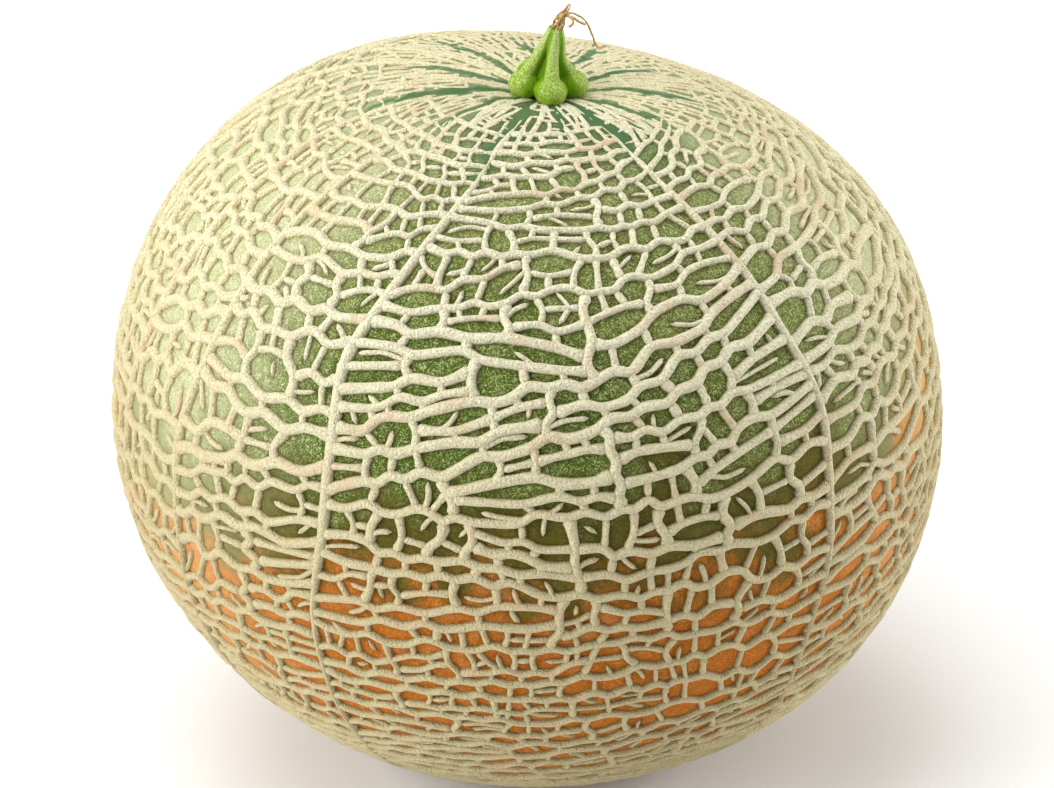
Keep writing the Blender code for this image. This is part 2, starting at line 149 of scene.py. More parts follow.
# Cross-section of a ridge: (share of its half-width, share of its height, drop under the skin)
RIDGE_PROFILE = (
    (-1.04, 0.0, 1.0), (-1.0, 0.14, 0.0), (-0.87, 0.55, 0.0),
    (-0.5, 0.9, 0.0), (0.0, 1.0, 0.0), (0.5, 0.9, 0.0),
    (0.87, 0.55, 0.0), (1.0, 0.14, 0.0), (1.04, 0.0, 1.0),
)


def metres(name, description, default):
    return FloatProperty(name=name, description=description, default=default, unit="LENGTH")


def number(name, description, default):
    return FloatProperty(name=name, description=description, default=default)


def whole(name, description, default):
    return IntProperty(name=name, description=description, default=default)


def paint(name, default):
    return FloatVectorProperty(name=name, description="Linear colour", subtype="COLOR", default=default)


class MelonFruit(PropertyGroup):
    """Sizes of the fruit's body, measured on the crests of its net."""

    half_width: metres("Half width", "Half the fruit's width", 0.075)
    crown_rise: metres("Crown rise", "Crown above the belt", 0.0634)
    base_drop: metres("Base drop", "Base below the belt", 0.072)
    crown_fullness: number("Crown fullness", "2 is an ellipse, more is fuller", 2.28)
    base_fullness: number("Base fullness", "2 is an ellipse, more is fuller", 1.93)
    rest_radius: metres("Rest radius", "Flat spot's radius", 0.014)
    right_lean: number("Right lean", "Crown's degrees to the right", 4.3)
    front_lean: number("Front lean", "Crown's degrees to the front", 3.2)
    dimple: metres("Dimple", "Depth of the crown's dimple", 0.0022)
    dimple_spread: number("Dimple spread", "Polar angle of the dimple", 10.5)


class MelonNet(PropertyGroup):
    """Sizes of the corky net."""

    seed: whole("Seed", "Seed of the cracks", 18)
    cell_area: number("Cell area", "Square millimetres in a cell", 40.0)
    crown_cell_area: number("Crown cell area", "The same on the crown", 11.0)
    cell_aspect: number("Cell aspect", "Width of a cell over its height", 1.22)
    crown_cell_aspect: number("Crown cell aspect", "The same on the crown", 0.3)
    least_side: metres("Least side", "Least side of a cell", 0.0029)
    height: metres("Height", "Height of a long ridge", 0.00105)
    crown_height: metres("Crown height", "The same on the crown", 0.0002)
    half_width: metres("Half width", "Half the width of a long ridge", 0.0009)
    thin_half_width: metres("Thin half width", "Half the width of a short ridge", 0.00055)
    step: metres("Step", "Length of a ridge's segments", 0.00102)
    crown_polar: number("Crown polar", "Polar angle where the crown ends in front", 14.5)


class MelonStalk(PropertyGroup):
    """Sizes of the stalk and of the withered vine end."""

    seed: whole("Seed", "Seed of the vine's fibres", 5)
    ribs: whole("Ribs", "Ribs round the stalk", 5)
    front_turn: number("Front turn", "Degrees from the front to a rib", 8.0)
    bulb_radius: metres("Bulb radius", "Radius of the foot of a rib", 0.0029)
    bulb_reach: metres("Bulb reach", "From the axis to a bulb's middle", 0.0044)
    bulb_height: metres("Bulb height", "From the crown to a bulb's middle", 0.0023)
    bend: metres("Bend", "How far the neck bends right", 0.0007)
    voxel: metres("Voxel", "Grain of the stalk's mesh", 0.00016)
    vine_voxel: metres("Vine voxel", "Grain of the vine's mesh", 0.00008)


class MelonColours(PropertyGroup):
    """Linear colours of the melon."""

    cork: paint("Cork", (0.77, 0.75, 0.55))
    cork_dark: paint("Cork's pits", (0.4, 0.35, 0.21))
    cork_cream: paint("Cork at the sides", (0.76, 0.69, 0.4))
    cork_warm: paint("Cork's scars", (0.6, 0.42, 0.26))
    # Browner cork lower down: partly its own colour, partly painted shade where the lower side gets less
    # light
    cork_low: paint("Cork on the base", (0.56, 0.48, 0.27))
    # Painted shade at the ridges' feet, lighter at the sides where light is painted
    cork_foot_shade: paint("Cork's foot", (0.2, 0.17, 0.025))
    cork_lit_foot_shade: paint("Cork's foot at the sides", (0.5, 0.4, 0.12))
    # Painted light: the skin and its specks where the sides are painted as if lit
    skin_palest: paint("Skin's palest specks", (0.68, 0.68, 0.43))
    skin_light: paint("Skin's light specks", (0.46, 0.48, 0.23))
    skin_green: paint("Skin's green", (0.18, 0.21, 0.045))
    skin_deep: paint("Skin's deep green", (0.065, 0.12, 0.006))
    skin_olive: paint("Skin's olive", (0.105, 0.08, 0.01))
    skin_orange: paint("Skin's orange", (0.54, 0.165, 0.014))
    # Real peach mottling on the orange, and painted light on the orange at the sides and the base
    skin_peach: paint("Skin's orange at the sides", (0.74, 0.42, 0.17))
    skin_rust: paint("Skin's rust", (0.3, 0.09, 0.015))
    shade: paint("Skin beside the ridges", (0.05, 0.055, 0.004))
    shade_low: paint("Same on the base", (0.2, 0.075, 0.008))
    stripe: paint("Crown stripes", (0.06, 0.16, 0.075))
    stalk: paint("Stalk", (0.29, 0.44, 0.008))
    stalk_deep: paint("Stalk's grooves", (0.17, 0.36, 0.001))
    stalk_down: paint("Stalk's down", (0.66, 0.74, 0.34))
    vine: paint("Vine", (0.6, 0.4, 0.16))
    vine_dark: paint("Vine's shadows", (0.2, 0.1, 0.035))


class MelonStage(PropertyGroup):
    """The floor, the camera and the lights."""

    floor_size: metres("Floor size", "Side of the floor", 6.0)
    elevation: number("Elevation", "Camera's degrees above the horizon", 28.0)
    distance: metres("Distance", "Camera to the belt's middle", 0.9)
    pixel: number("Pixel", "Millimetres a pixel at the belt", 0.18148)
    centre_x: number("Centre X", "Belt's middle in the picture", 520.3)
    centre_y: number("Centre Y", "Belt's middle in the picture", 385.6)
    top_power: number("Top power", "Watts of the light overhead", 17.0)
    key_power: number("Key power", "Watts of the light on the left", 17.0)
    rim_power: number("Rim power", "Watts of the light on the right", 12.5)
    sky: number("Sky", "Strength of the sky", 0.45)


def ramp(value, low, high):
    """Rises smoothly from 0 at low to 1 at high, for a number or an array."""
    share = np.clip((value - low) / (high - low), 0.0, 1.0)
    return share * share * (3 - 2 * share)


def unit(vectors):
    return vectors / np.linalg.norm(vectors, axis=1)[:, None]


def heading(longitude, polar):
    """The unit direction at a longitude, from the front to the right, and an angle down from the crown."""
    along, down = math.radians(longitude), math.radians(polar)
    return Vector((math.sin(down) * math.sin(along), -math.sin(down) * math.cos(along), math.cos(down)))


def longitude_of(direction):
    return math.degrees(math.atan2(direction.x, -direction.y))


def polar_of(direction):
    return math.degrees(math.acos(max(-1.0, min(1.0, direction.z))))


def turned(longitude, origin):
    """How far a longitude lies from another, the short way round."""
    return (longitude - origin + 180.0) % 360.0 - 180.0


def polars(directions):
    return np.degrees(np.arccos(np.clip(directions[:, 2], -1, 1)))


def longitudes(directions):
    return np.degrees(np.arctan2(directions[:, 0], -directions[:, 1]))


def fruit_centre():
    fruit = bpy.context.scene.melon_fruit
    share = 1 - (fruit.rest_radius / fruit.half_width) ** fruit.base_fullness
    return np.array((0.0, 0.0, fruit.base_drop * share ** (1 / fruit.base_fullness)))


def leaned(directions):
    """Tilts the net's pole to where the stalk stands, and leaves the base alone."""
    fruit = bpy.context.scene.melon_fruit
    x, y, z = directions.T
    share = 0.5 + 0.5 * z
    right, front = math.radians(fruit.right_lean) * share, math.radians(fruit.front_lean) * share
    x, z = x * np.cos(right) + z * np.sin(right), z * np.cos(right) - x * np.sin(right)
    y, z = y * np.cos(front) - z * np.sin(front), y * np.sin(front) + z * np.cos(front)
    return unit(np.stack([x, y, z], axis=1))


def crest_points(directions):
    """Points on the crests of the net."""
    fruit = bpy.context.scene.melon_fruit
    towards = leaned(directions)
    above = towards[:, 2] > 0
    reach = np.where(above, fruit.crown_rise, fruit.base_drop)
    fullness = np.where(above, fruit.crown_fullness, fruit.base_fullness)
    level = np.hypot(towards[:, 0], towards[:, 1]) / fruit.half_width
    radius = (level**fullness + (np.abs(towards[:, 2]) / reach) ** fullness) ** (-1 / fullness)
    for longitude, polar, amount, spread in SWELLS:
        away = np.degrees(np.arccos(np.clip(towards @ np.array(heading(longitude, polar)), -1, 1)))
        radius += amount * np.exp(-((away / spread) ** 2))
    radius -= fruit.dimple * np.exp(-((polars(directions) / fruit.dimple_spread) ** 2))
    points = fruit_centre() + towards * radius[:, None]
    points[:, 2] = np.maximum(points[:, 2], 0.0)
    return points


def crown_share(directions, blend=6.0):
    """0 on the crown, where the net is fine and drawn out from the stalk, and 1 below it."""
    crown = bpy.context.scene.melon_net.crown_polar
    reach = crown * (1 + 1.1 * np.abs(np.sin(np.radians(longitudes(directions)) / 2)))
    return ramp(polars(directions), reach - blend / 2, reach + blend)


def skin_points(directions):
    """Points on the skin between the ridges of the net."""
    net = bpy.context.scene.melon_net
    depth = net.crown_height + (net.height - net.crown_height) * crown_share(directions, 26.0)
    crests = crest_points(directions)
    return crests + unit(fruit_centre() - crests) * depth[:, None]


def skin_normals(directions):
    """Outward normals of the skin."""
    across = unit(np.cross(directions, np.array((0.31, 0.17, 0.93))))
    along = np.cross(directions, across)
    reach = 0.01
    slopes = [
        skin_points(unit(directions + way * reach)) - skin_points(unit(directions - way * reach))
        for way in (across, along)
    ]
    normals = unit(np.cross(*slopes))
    outward = np.sign(np.sum(normals * directions, axis=1))
    return normals * outward[:, None]


def noises(places, frequency, offset=0.0):
    """Smooth noise from about -1 to 1 at each place."""
    shifted = places * frequency + offset
    return np.array([noise.noise(Vector(place)) for place in shifted.tolist()])


def seam_mesh(rng):
    """Gores between the seams, from a ring round the stalk to a small ring in the flat spot."""
    bm = bmesh.new()
    crack = bm.edges.layers.int.new("crack")
    last = 180.0 - math.degrees(math.atan(BASE_RING / (MEAN_RADIUS / 1000)))
    seams = []
    for longitude, drift in SEAMS:
        points = []
        for polar in (*SEAM_STEPS, last):
            sway = drift * (1 - float(ramp(polar, 15, 62))) + rng.uniform(-1.2, 1.2)
            points.append(bm.verts.new(heading(longitude + sway, polar)))
        seams.append(points)
    gores = []
    for left, right in zip(seams, seams[1:] + seams[:1]):
        gores.append(bm.faces.new(left + right[::-1]))
    for edge in bm.edges:
        edge[crack] = -1
    for index, seam in enumerate(seams):
        for upper, lower in zip(seam, seam[1:]):
            bm.edges.get((upper, lower))[crack] = index
    return bm, gores, crack


def flattened(cell):
    """A cell's corners in millimetres east and south of its middle, and that middle's polar angle."""
    down = [polar_of(corner.co) for corner in cell.verts]
    middle = sum(down) / len(down)
    centre = Vector()
    for corner in cell.verts:
        centre += corner.co
    origin = longitude_of(centre)
    height = math.radians(1) * BELT_RADIUS
    width = height * math.sin(math.radians(middle))
    corners = [
        (turned(longitude_of(corner.co), origin) * width, (polar - middle) * height)
        for corner, polar in zip(cell.verts, down)
    ]
    return corners, middle


def area_of(corners):
    """The area of a flat polygon."""
    total = 0.0
    for (x0, y0), (x1, y1) in zip(corners, corners[1:] + corners[:1]):
        total += x0 * y1 - x1 * y0
    return abs(total) / 2


def squareness(along, start, end):
    """The sine of the angle between a direction and the line from start to end."""
    x, y = end[0] - start[0], end[1] - start[1]
    return abs(along[0] * y - along[1] * x) / max(math.hypot(x, y), 1e-9)


def crossings(corners, origin, slope, clearance):
    """Where a crack leaves a polygon ahead and behind: (distance, edge, share of it, squareness to it)."""
    along = (math.cos(slope), math.sin(slope))
    offsets = [along[0] * (y - origin[1]) - along[1] * (x - origin[0]) for x, y in corners]
    found = []
    for i, (here, beyond) in enumerate(zip(offsets, offsets[1:] + offsets[:1])):
        if (here > 0) == (beyond > 0):
            continue
        share = here / (here - beyond)
        x0, y0 = corners[i]
        x1, y1 = corners[(i + 1) % len(corners)]
        x, y = x0 + (x1 - x0) * share, y0 + (y1 - y0) * share
        square = squareness(along, corners[i], (x1, y1))
        clear = clearance / max(math.hypot(x1 - x0, y1 - y0), 1e-9)
        share = round(share) if clear > 0.5 else max(clear, min(1 - clear, share))
        if share in (0, 1):
            joint = (i + share) % len(corners)
            before, after = corners[joint - 1], corners[(joint + 1) % len(corners)]
            square = min(squareness(along, corners[joint], end) for end in (before, after))
        found.append(((x - origin[0]) * along[0] + (y - origin[1]) * along[1], i, share, square))
    ahead = min((f for f in found if f[0] > 0), default=None)
    behind = max((f for f in found if f[0] <= 0), default=None)
    return ahead, behind


def point_on_edge(loop, share):
    """The corner on an edge of a cell where a crack ends, new unless the edge is short."""
    if share in (0, 1):
        return loop.link_loop_next.vert if share else loop.vert
    start, end = loop.vert.co.copy(), loop.link_loop_next.vert.co.copy()
    polar = polar_of(start) + (polar_of(end) - polar_of(start)) * share
    step = turned(longitude_of(end), longitude_of(start)) * share
    _, corner = bmesh.utils.edge_split(loop.edge, loop.vert, share)
    corner.co = heading(longitude_of(start) + step, polar)
    return corner


def long_way(corners):
    """The slope of a flat polygon's longer way and how much longer than the other way it is."""
    pairs = list(zip(corners, corners[1:] + corners[:1]))
    girth = sum(math.dist(here, after) for here, after in pairs)
    middle = [
        sum((here[i] + after[i]) / 2 * math.dist(here, after) for here, after in pairs) / girth
        for i in (0, 1)
    ]
    xx = xy = yy = 0.0
    for here, after in pairs:
        length = math.dist(here, after)
        x, y = (here[0] + after[0]) / 2 - middle[0], (here[1] + after[1]) / 2 - middle[1]
        dx, dy = after[0] - here[0], after[1] - here[1]
        xx += length * (x * x + dx * dx / 12)
        xy += length * (x * y + dx * dy / 12)
        yy += length * (y * y + dy * dy / 12)
    spread = math.hypot((xx - yy) / 2, xy)
    longer = math.sqrt(((xx + yy) / 2 + spread) / max((xx + yy) / 2 - spread, 1e-9))
    return math.atan2(2 * xy, xx - yy) / 2, longer


def thickness(corners):
    """How thick a flat polygon is across its longer way, in millimetres, on average."""
    way, _ = long_way(corners)
    along = [x * math.cos(way) + y * math.sin(way) for x, y in corners]
    return area_of(corners) / (max(along) - min(along))


def halves(corners, ahead, behind):
    """The two polygons that a crack would leave."""
    ends = []
    for _, edge, share, _ in (ahead, behind):
        x0, y0 = corners[edge]
        x1, y1 = corners[(edge + 1) % len(corners)]
        ends.append((x0 + (x1 - x0) * share, y0 + (y1 - y0) * share))
    sides = []
    for (_, start, *_), (_, stop, *_), pair in ((ahead, behind, ends), (behind, ahead, ends[::-1])):
        steps = (stop - start) % len(corners)
        between = [corners[(start + 1 + i) % len(corners)] for i in range(steps)]
        sides.append([pair[0], *between, pair[1]])
    return sides


def aimed_area(place, middle, share):
    """Square millimetres aimed at for a cell: fewer on the left, on the crown and in the lower third."""
    net = bpy.context.scene.melon_net
    patch = 1 + 0.45 * noise.noise(place * 1.7 + Vector((9.0, 2.0, 5.0)))
    patch -= 0.12 * math.exp(-((turned(longitude_of(place), -60) / 26) ** 2) - ((middle - 62) / 24) ** 2)
    patch -= 0.32 * float(ramp(middle, 84, 104)) + 0.45 * float(ramp(-middle, -58, -18))
    return net.crown_cell_area + (net.cell_area * patch - net.crown_cell_area) * share


def aimed_aspect(place, middle, share):
    """Width over height aimed at for a cell: more on the right shoulder and less at the sides."""
    net = bpy.context.scene.melon_net
    aspect = net.crown_cell_aspect + (net.cell_aspect - net.crown_cell_aspect) * share
    around = longitude_of(place)
    side = float(ramp(-around, 20, 45) + ramp(around, 60, 85) * ramp(middle, 40, 55))
    shoulder = float(ramp(around, 15, 40) * ramp(-around, -130, -100) * ramp(-middle, -50, -38))
    low = float(ramp(middle, 88, 104))
    return aspect * (1 + share * (0.6 * shoulder + 0.12 * low - 0.28 * side))


def crack_in_two(bm, cell, rng, crack, index):
    """Cracks a cell across its longer way and returns the new cell, or None if it stays whole."""
    corners, middle = flattened(cell)
    place = cell.calc_center_median().normalized()
    share = float(crown_share(np.array([place]))[0])
    aim = aimed_area(place, middle, share)
    if area_of(corners) < aim * rng.uniform(0.65, 1.6):
        return None
    width = max(x for x, _ in corners) - min(x for x, _ in corners)
    height = max(y for _, y in corners) - min(y for _, y in corners)
    least = (0.5 + 0.5 * share) * bpy.context.scene.melon_net.least_side / MM
    aspect = aimed_aspect(place, middle, share)
    aspect *= 1 + ((area_of(corners) / aim) ** 0.33 - 1) * share
    level = height * aspect > width * rng.uniform(0.8, 1.25)
    room = 0.7 + 1.7 * share
    tilt = math.radians(-7 + 16 * noise.noise(place * 1.9 + Vector((4.4, 0.0, 0.0)))) * share
    way, longer = long_way(corners)
    way -= math.pi / 2 * round(way / (math.pi / 2))
    inherited = float(ramp(longer, 1.1, 1.7) * ramp(-area_of(corners) / aim, -14.0, -4.0))
    tilt += (way - tilt) * inherited * share
    # Seven tries this way, seven the other way, and four more that are less strict
    for attempt, turn in enumerate([level] * 7 + [not level] * 7 + [level] * 4):
        strictness = 1.0 if attempt < 14 else 0.75
        if (height if turn else width) < 2 * least * strictness:
            continue
        centre = [sum(axis) / len(corners) for axis in zip(*corners)]
        centre[0] += width * rng.uniform(-0.12, 0.12)
        centre[1] += height * rng.uniform(-0.12, 0.12)
        slope = (0.0 if turn else math.pi / 2) + math.radians(rng.gauss(0, 6 if turn else 11)) + tilt
        ahead, behind = crossings(corners, centre, slope, 0.8 + share * strictness)
        if ahead is None or behind is None or min(ahead[3], behind[3]) < 0.7 * strictness * share:
            continue
        if min(thickness(side) for side in halves(corners, ahead, behind)) < room * strictness:
            continue
        loops = list(cell.loops)
        first = point_on_edge(loops[ahead[1]], ahead[2])
        second = point_on_edge(loops[behind[1]], behind[2])
        made = bmesh.utils.face_split(cell, first, second)[0]
        bm.edges.get((first, second))[crack] = index
        return made
    return None


def wave(direction):
    """Shifts a direction a little, so that no crack runs straight."""
    shift = Vector()
    for frequency, amount in WAVES:
        place = direction * frequency
        for axis, offset in enumerate((7.1, 23.7, 41.3)):
            shift[axis] += noise.noise(place + Vector((offset, -offset, 0.0))) * amount
    hold = float(ramp(polar_of(direction), 5, 28))
    return (direction + shift * hold).normalized()


def settle(bm, crack):
    """Bends each ridge towards the ones that join it from the side, least of all in front."""
    for strength in (1.0, 0.5):
        moved = {}
        for joint in bm.verts:
            edges = [edge for edge in joint.link_edges if edge[crack] >= 0]
            names = [edge[crack] for edge in edges]
            if len(edges) < 3 or min(names) < len(SEAMS):
                continue
            shift, middle = Vector(), Vector()
            for edge in edges:
                away = edge.other_vert(joint).co - joint.co
                middle += away / len(edges)
                if names.count(edge[crack]) == 1:
                    shift += away.normalized() * min(0.007, away.length * 0.16)
            around = longitude_of(joint.co)
            loose = 0.12 + 0.12 * float(ramp(-around, 12, 48)) + 0.12 * float(ramp(around, 20, 55))
            share = 0.2 + 0.8 * float(crown_share(np.array([joint.co]))[0])
            moved[joint] = joint.co + (shift + middle * loose) * (strength * share)
        for joint, place in moved.items():
            joint.co = place.normalized()


def cracked_net(rng):
    """The whole net as a mesh of cells on the unit sphere, and each crack's rank from 0 to 1."""
    bm, waiting, crack = seam_mesh(rng)
    index = len(SEAMS)
    cells = []
    ranks = [1.0] * index
    while waiting:
        cell = waiting.pop()
        area = area_of(flattened(cell)[0])
        made = crack_in_two(bm, cell, rng, crack, index)
        if made is None:
            cells.append(cell)
        else:
            index += 1
            ranks.append(float(ramp(area, 40.0, 190.0)))
            waiting += [cell, made]
    settle(bm, crack)
    for joint in bm.verts:
        joint.co = wave(joint.co)
    return bm, cells, crack, ranks


def crack_lines(bm, crack):
    """The joints along each crack, in order."""
    edges = defaultdict(list)
    for edge in bm.edges:
        if edge[crack] >= 0:
            edges[edge[crack]].append(edge)
    lines = []
    for index in sorted(edges):
        ends = defaultdict(list)
        for edge in edges[index]:
            for joint in edge.verts:
                ends[joint].append(edge)
        start = next((joint for joint in ends if len(ends[joint]) == 1), None)
        if start is None:
            continue
        line, used, joint = [start.co.copy()], set(), start
        while True:
            ahead = [edge for edge in ends[joint] if edge not in used]
            if not ahead:
                break
            used.add(ahead[0])
            joint = ahead[0].other_vert(joint)
            line.append(joint.co.copy())
        lines.append((index, np.array(line)))
    return lines


def spur_line(cell, rng):
    """A short thin ridge in a cell, which starts on one of its sides or lies loose in it."""
    corners = [corner.co for corner in cell.verts]
    i = rng.randrange(len(corners))
    start = corners[i].lerp(corners[(i + 1) % len(corners)], rng.uniform(0.3, 0.7))
    middle = sum(corners, Vector()) / len(corners)
    loose = rng.random() < 0.05
    if loose:
        start = start.lerp(middle, rng.uniform(0.35, 0.6))
    target = start.lerp(middle, rng.uniform(1.1, 1.5)).lerp(corners[i - 2], rng.uniform(0.0, 0.25))
    if (target - start).length * MEAN_RADIUS < 2.0:
        target = start + (target - start).normalized() * (rng.uniform(2.0, 3.2) / MEAN_RADIUS)
    side = start.cross(target - start).normalized() * (target - start).length * rng.uniform(-0.16, 0.16)
    if not loose:
        start = start + (start - target).normalized() * (0.5 / MEAN_RADIUS)
    bent = start.lerp(target, 0.5) + side
    return np.array([start.normalized(), bent.normalized(), target.normalized()]), loose


def lengthened(line, extra):
    """A path drawn out at both ends, so that a ridge reaches into the ones it joins."""
    ends = np.array([line[0] - line[1], line[-1] - line[-2]])
    ends *= extra / np.linalg.norm(ends, axis=1)[:, None]
    return np.concatenate([[line[0] + ends[0]], line[1:-1], [line[-1] + ends[1]]])


def even_path(line, step, rounds=2):
    """A crack's joints resampled at even steps and smoothed, with its ends kept."""
    lengths = np.concatenate([[0.0], np.cumsum(np.linalg.norm(np.diff(line, axis=0), axis=1))])
    count = max(4, int(lengths[-1] / step) + 1)
    at = np.linspace(0, lengths[-1], count)
    path = np.stack([np.interp(at, lengths, line[:, axis]) for axis in range(3)], axis=1)
    for _ in range(rounds):
        path[1:-1] = path[1:-1] * 0.5 + (path[:-2] + path[2:]) * 0.25
    return unit(path), at


def ridge_plan():
    """Every ridge of the net: the seams, the other cracks and the spurs in the cells."""
    net = bpy.context.scene.melon_net
    rng = random.Random(net.seed)
    bm, cells, crack, ranks = cracked_net(rng)
    step = net.step / (MEAN_RADIUS / 1000)
    ridges = []
    for index, line in crack_lines(bm, crack):
        if index < len(SEAMS):
            path, along = even_path(line, step, 40)
            share = 1.15
        else:
            path, along = even_path(lengthened(line, OVERLAP / MEAN_RADIUS), step)
            share = 0.5 * float(ramp(along[-1] * MEAN_RADIUS, 3.0, 15.0)) + 0.5 * ranks[index]
        half = net.thin_half_width + (net.half_width - net.thin_half_width) * share
        half *= rng.uniform(0.87, 1.13)
        group = "long" if share > 0.75 else "cross"
        ridges.append(Ridge(path, along, half, 0.66 + 0.34 * share, group, rng.random()))
    for cell in cells:
        corners, middle = flattened(cell)
        if middle > 150:  # None near the flat spot
            continue
        roomy = float(ramp(area_of(corners), 12.0, 34.0)) if middle > 25 else 0.15
        if rng.random() > 0.45 * roomy:
            continue
        line, loose = spur_line(cell, rng)
        path, along = even_path(line, step * 0.7, 1)
        half = net.thin_half_width * rng.uniform(0.7, 1.05)
        group = "loose" if loose else "spur"
        ridges.append(Ridge(path, along, half, rng.uniform(0.45, 0.7), group, rng.random()))
    bm.free()
    return ridges


def stripe_share(directions, edge=1.5):
    """1 inside the crown's bare dark stripes and 0 outside them."""
    longitude, polar = longitudes(directions), polars(directions)
    wobble = noises(directions, 9.0, 3.3) * 5.0 + noises(directions, 30.0, 8.3) * 3.0
    share = np.zeros(len(directions))
    for middle, half, reach in STRIPES:
        away = np.abs((longitude + wobble - middle + 180) % 360 - 180)
        width = half * np.clip(1.15 - polar / reach, 0, 1) ** 0.5 * (1 + 3.0 / np.maximum(polar, 4.0))
        share = np.maximum(share, 1 - ramp(away - width, -edge, edge))
    return share * (1 - ramp(polar, 28, 34))


def painted_light_share(directions):
    """Where light is painted, from 0 to 1: 1 at the sides, where the skin is painted palest as if lit, and
    less on the shoulders and on the base, where it stands for light bounced off the floor.
    """
    longitude, polar = longitudes(directions), polars(directions)
    share = 0.88 * ramp(-longitude, 26, 58) + ramp(longitude, 42, 76) + 0.15 * (1 - ramp(polar, 25, 58))
    return np.clip(share + 0.35 * ramp(polar, 115, 140), 0.0, 1.0)


def lay_ridges(ridges):
    """Corners, faces and values of the ridges as one mesh, each a closed rounded strip."""
    net = bpy.context.scene.melon_net
    directions = np.concatenate([ridge.path for ridge in ridges])
    counts = [len(ridge.path) for ridge in ridges]
    starts = np.cumsum([0] + counts[:-1])
    first, last = np.zeros(len(directions), bool), np.zeros(len(directions), bool)
    first[starts] = True
    last[starts + np.array(counts) - 1] = True
    index = np.arange(len(directions))
    along_line = np.concatenate([ridge.along for ridge in ridges]) * MEAN_RADIUS
    spans = np.repeat([ridge.along[-1] * MEAN_RADIUS for ridge in ridges], counts)
    half = np.repeat([ridge.half_width for ridge in ridges], counts)
    rise = np.repeat([ridge.rise for ridge in ridges], counts)
    tone = np.repeat([ridge.tone for ridge in ridges], counts)
    loose = np.repeat([ridge.group == "loose" for ridge in ridges], counts)
    spur = loose | np.repeat([ridge.group == "spur" for ridge in ridges], counts)
    points = skin_points(directions)
    normals = skin_normals(directions)
    ahead = points[np.where(last, index, index + 1).clip(0, len(index) - 1)]
    behind = points[np.where(first, index, index - 1).clip(0)]
    sides = unit(np.cross(ahead - behind, normals))
    polar = polars(directions)
    crown = 1 - crown_share(directions)
    low = 1 - crown_share(directions, 26.0)
    height = (net.height + (net.crown_height - net.height) * low) * rise
    height *= 1 + 0.16 * noises(points, 330.0, 5.0)

    # Narrower on the stripes, the crown and the base, and wider on the pale sides
    half = half * (1 + 0.15 * noises(points, 400.0) + 0.08 * noises(points, 1300.0, 2.0))
    stripes = stripe_share(directions, 4.0)
    half *= (1 - 0.68 * stripes) * (1 - 0.22 * crown) * (1 - 0.3 * ramp(polar, 78, 112))
    half *= (1 - 0.28 * ramp(-polar, -62, -30)) * (1 - 0.35 * (rise > 1) * ramp(polar, 80, 102))
    half *= 1 + 0.5 * crown * noises(points, 500.0, 9.0)
    pale = painted_light_share(directions)
    half *= 1 + 0.18 * pale

    # Wider where a crack's ridge meets another, round at its end, and pointed where a spur runs out
    to_end = np.minimum(along_line, spans - along_line)
    half *= np.where(spur, 1.0, 1 + 0.32 * np.exp(-((np.maximum(to_end - 1.2, 0) / 0.8) ** 2)))
    nose = np.where(spur, 1.0, np.clip((to_end + 0.25) / 0.95, 0, 1) ** 0.5)
    half *= nose
    height *= nose
    free = np.where(spur, spans - along_line, 9.0)
    free = np.where(loose, np.minimum(along_line, free), free)
    taper = np.sqrt(np.clip(free / 0.8, 0.06, 1))
    half *= taper
    height *= taper

    rings = []
    for across, up, drop in RIDGE_PROFILE:
        lift = height * up - 0.0003 * drop - 0.0005 * stripes
        rings.append(points + sides * (half * across)[:, None] + normals * lift[:, None])
    corners = np.stack(rings, axis=1).reshape(-1, 3)
    corners[:, 2] = np.maximum(corners[:, 2], 0.0)
    size = len(RIDGE_PROFILE)
    values = {
        "top": np.tile([up for _, up, _ in RIDGE_PROFILE], len(points)),
        "tone": np.repeat(tone, size),
        "low": np.repeat(polar, size) / 180.0,
        # Share of painted light, which the cork's colours read
        "pale": np.repeat(pale, size),
    }
    faces = []
    for start, count in zip(starts.tolist(), counts):
        base = start * size
        for i in range(count - 1):
            here, after = base + i * size, base + (i + 1) * size
            for j in range(size):
                k = (j + 1) % size
                faces.append((here + j, here + k, after + k, after + j))
        faces.append(tuple(range(base + size - 1, base - 1, -1)))
        end = base + (count - 1) * size
        faces.append(tuple(range(end, end + size)))
    return corners, faces, values


def corner_places(piece):
    places = np.empty(len(piece.data.vertices) * 3)
    piece.data.vertices.foreach_get("co", places)
    return places.reshape(-1, 3)


def dress(piece, material, values):
    """Gives a piece its material, smooth shading and a value on every corner for each attribute."""
    mesh = piece.data
    mesh.materials.clear()
    mesh.materials.append(material)
    mesh.shade_smooth()
    for key, numbers in values.items():
        attribute = mesh.attributes.new(key, "FLOAT", "POINT")
        attribute.data.foreach_set("value", np.asarray(numbers, np.float32))


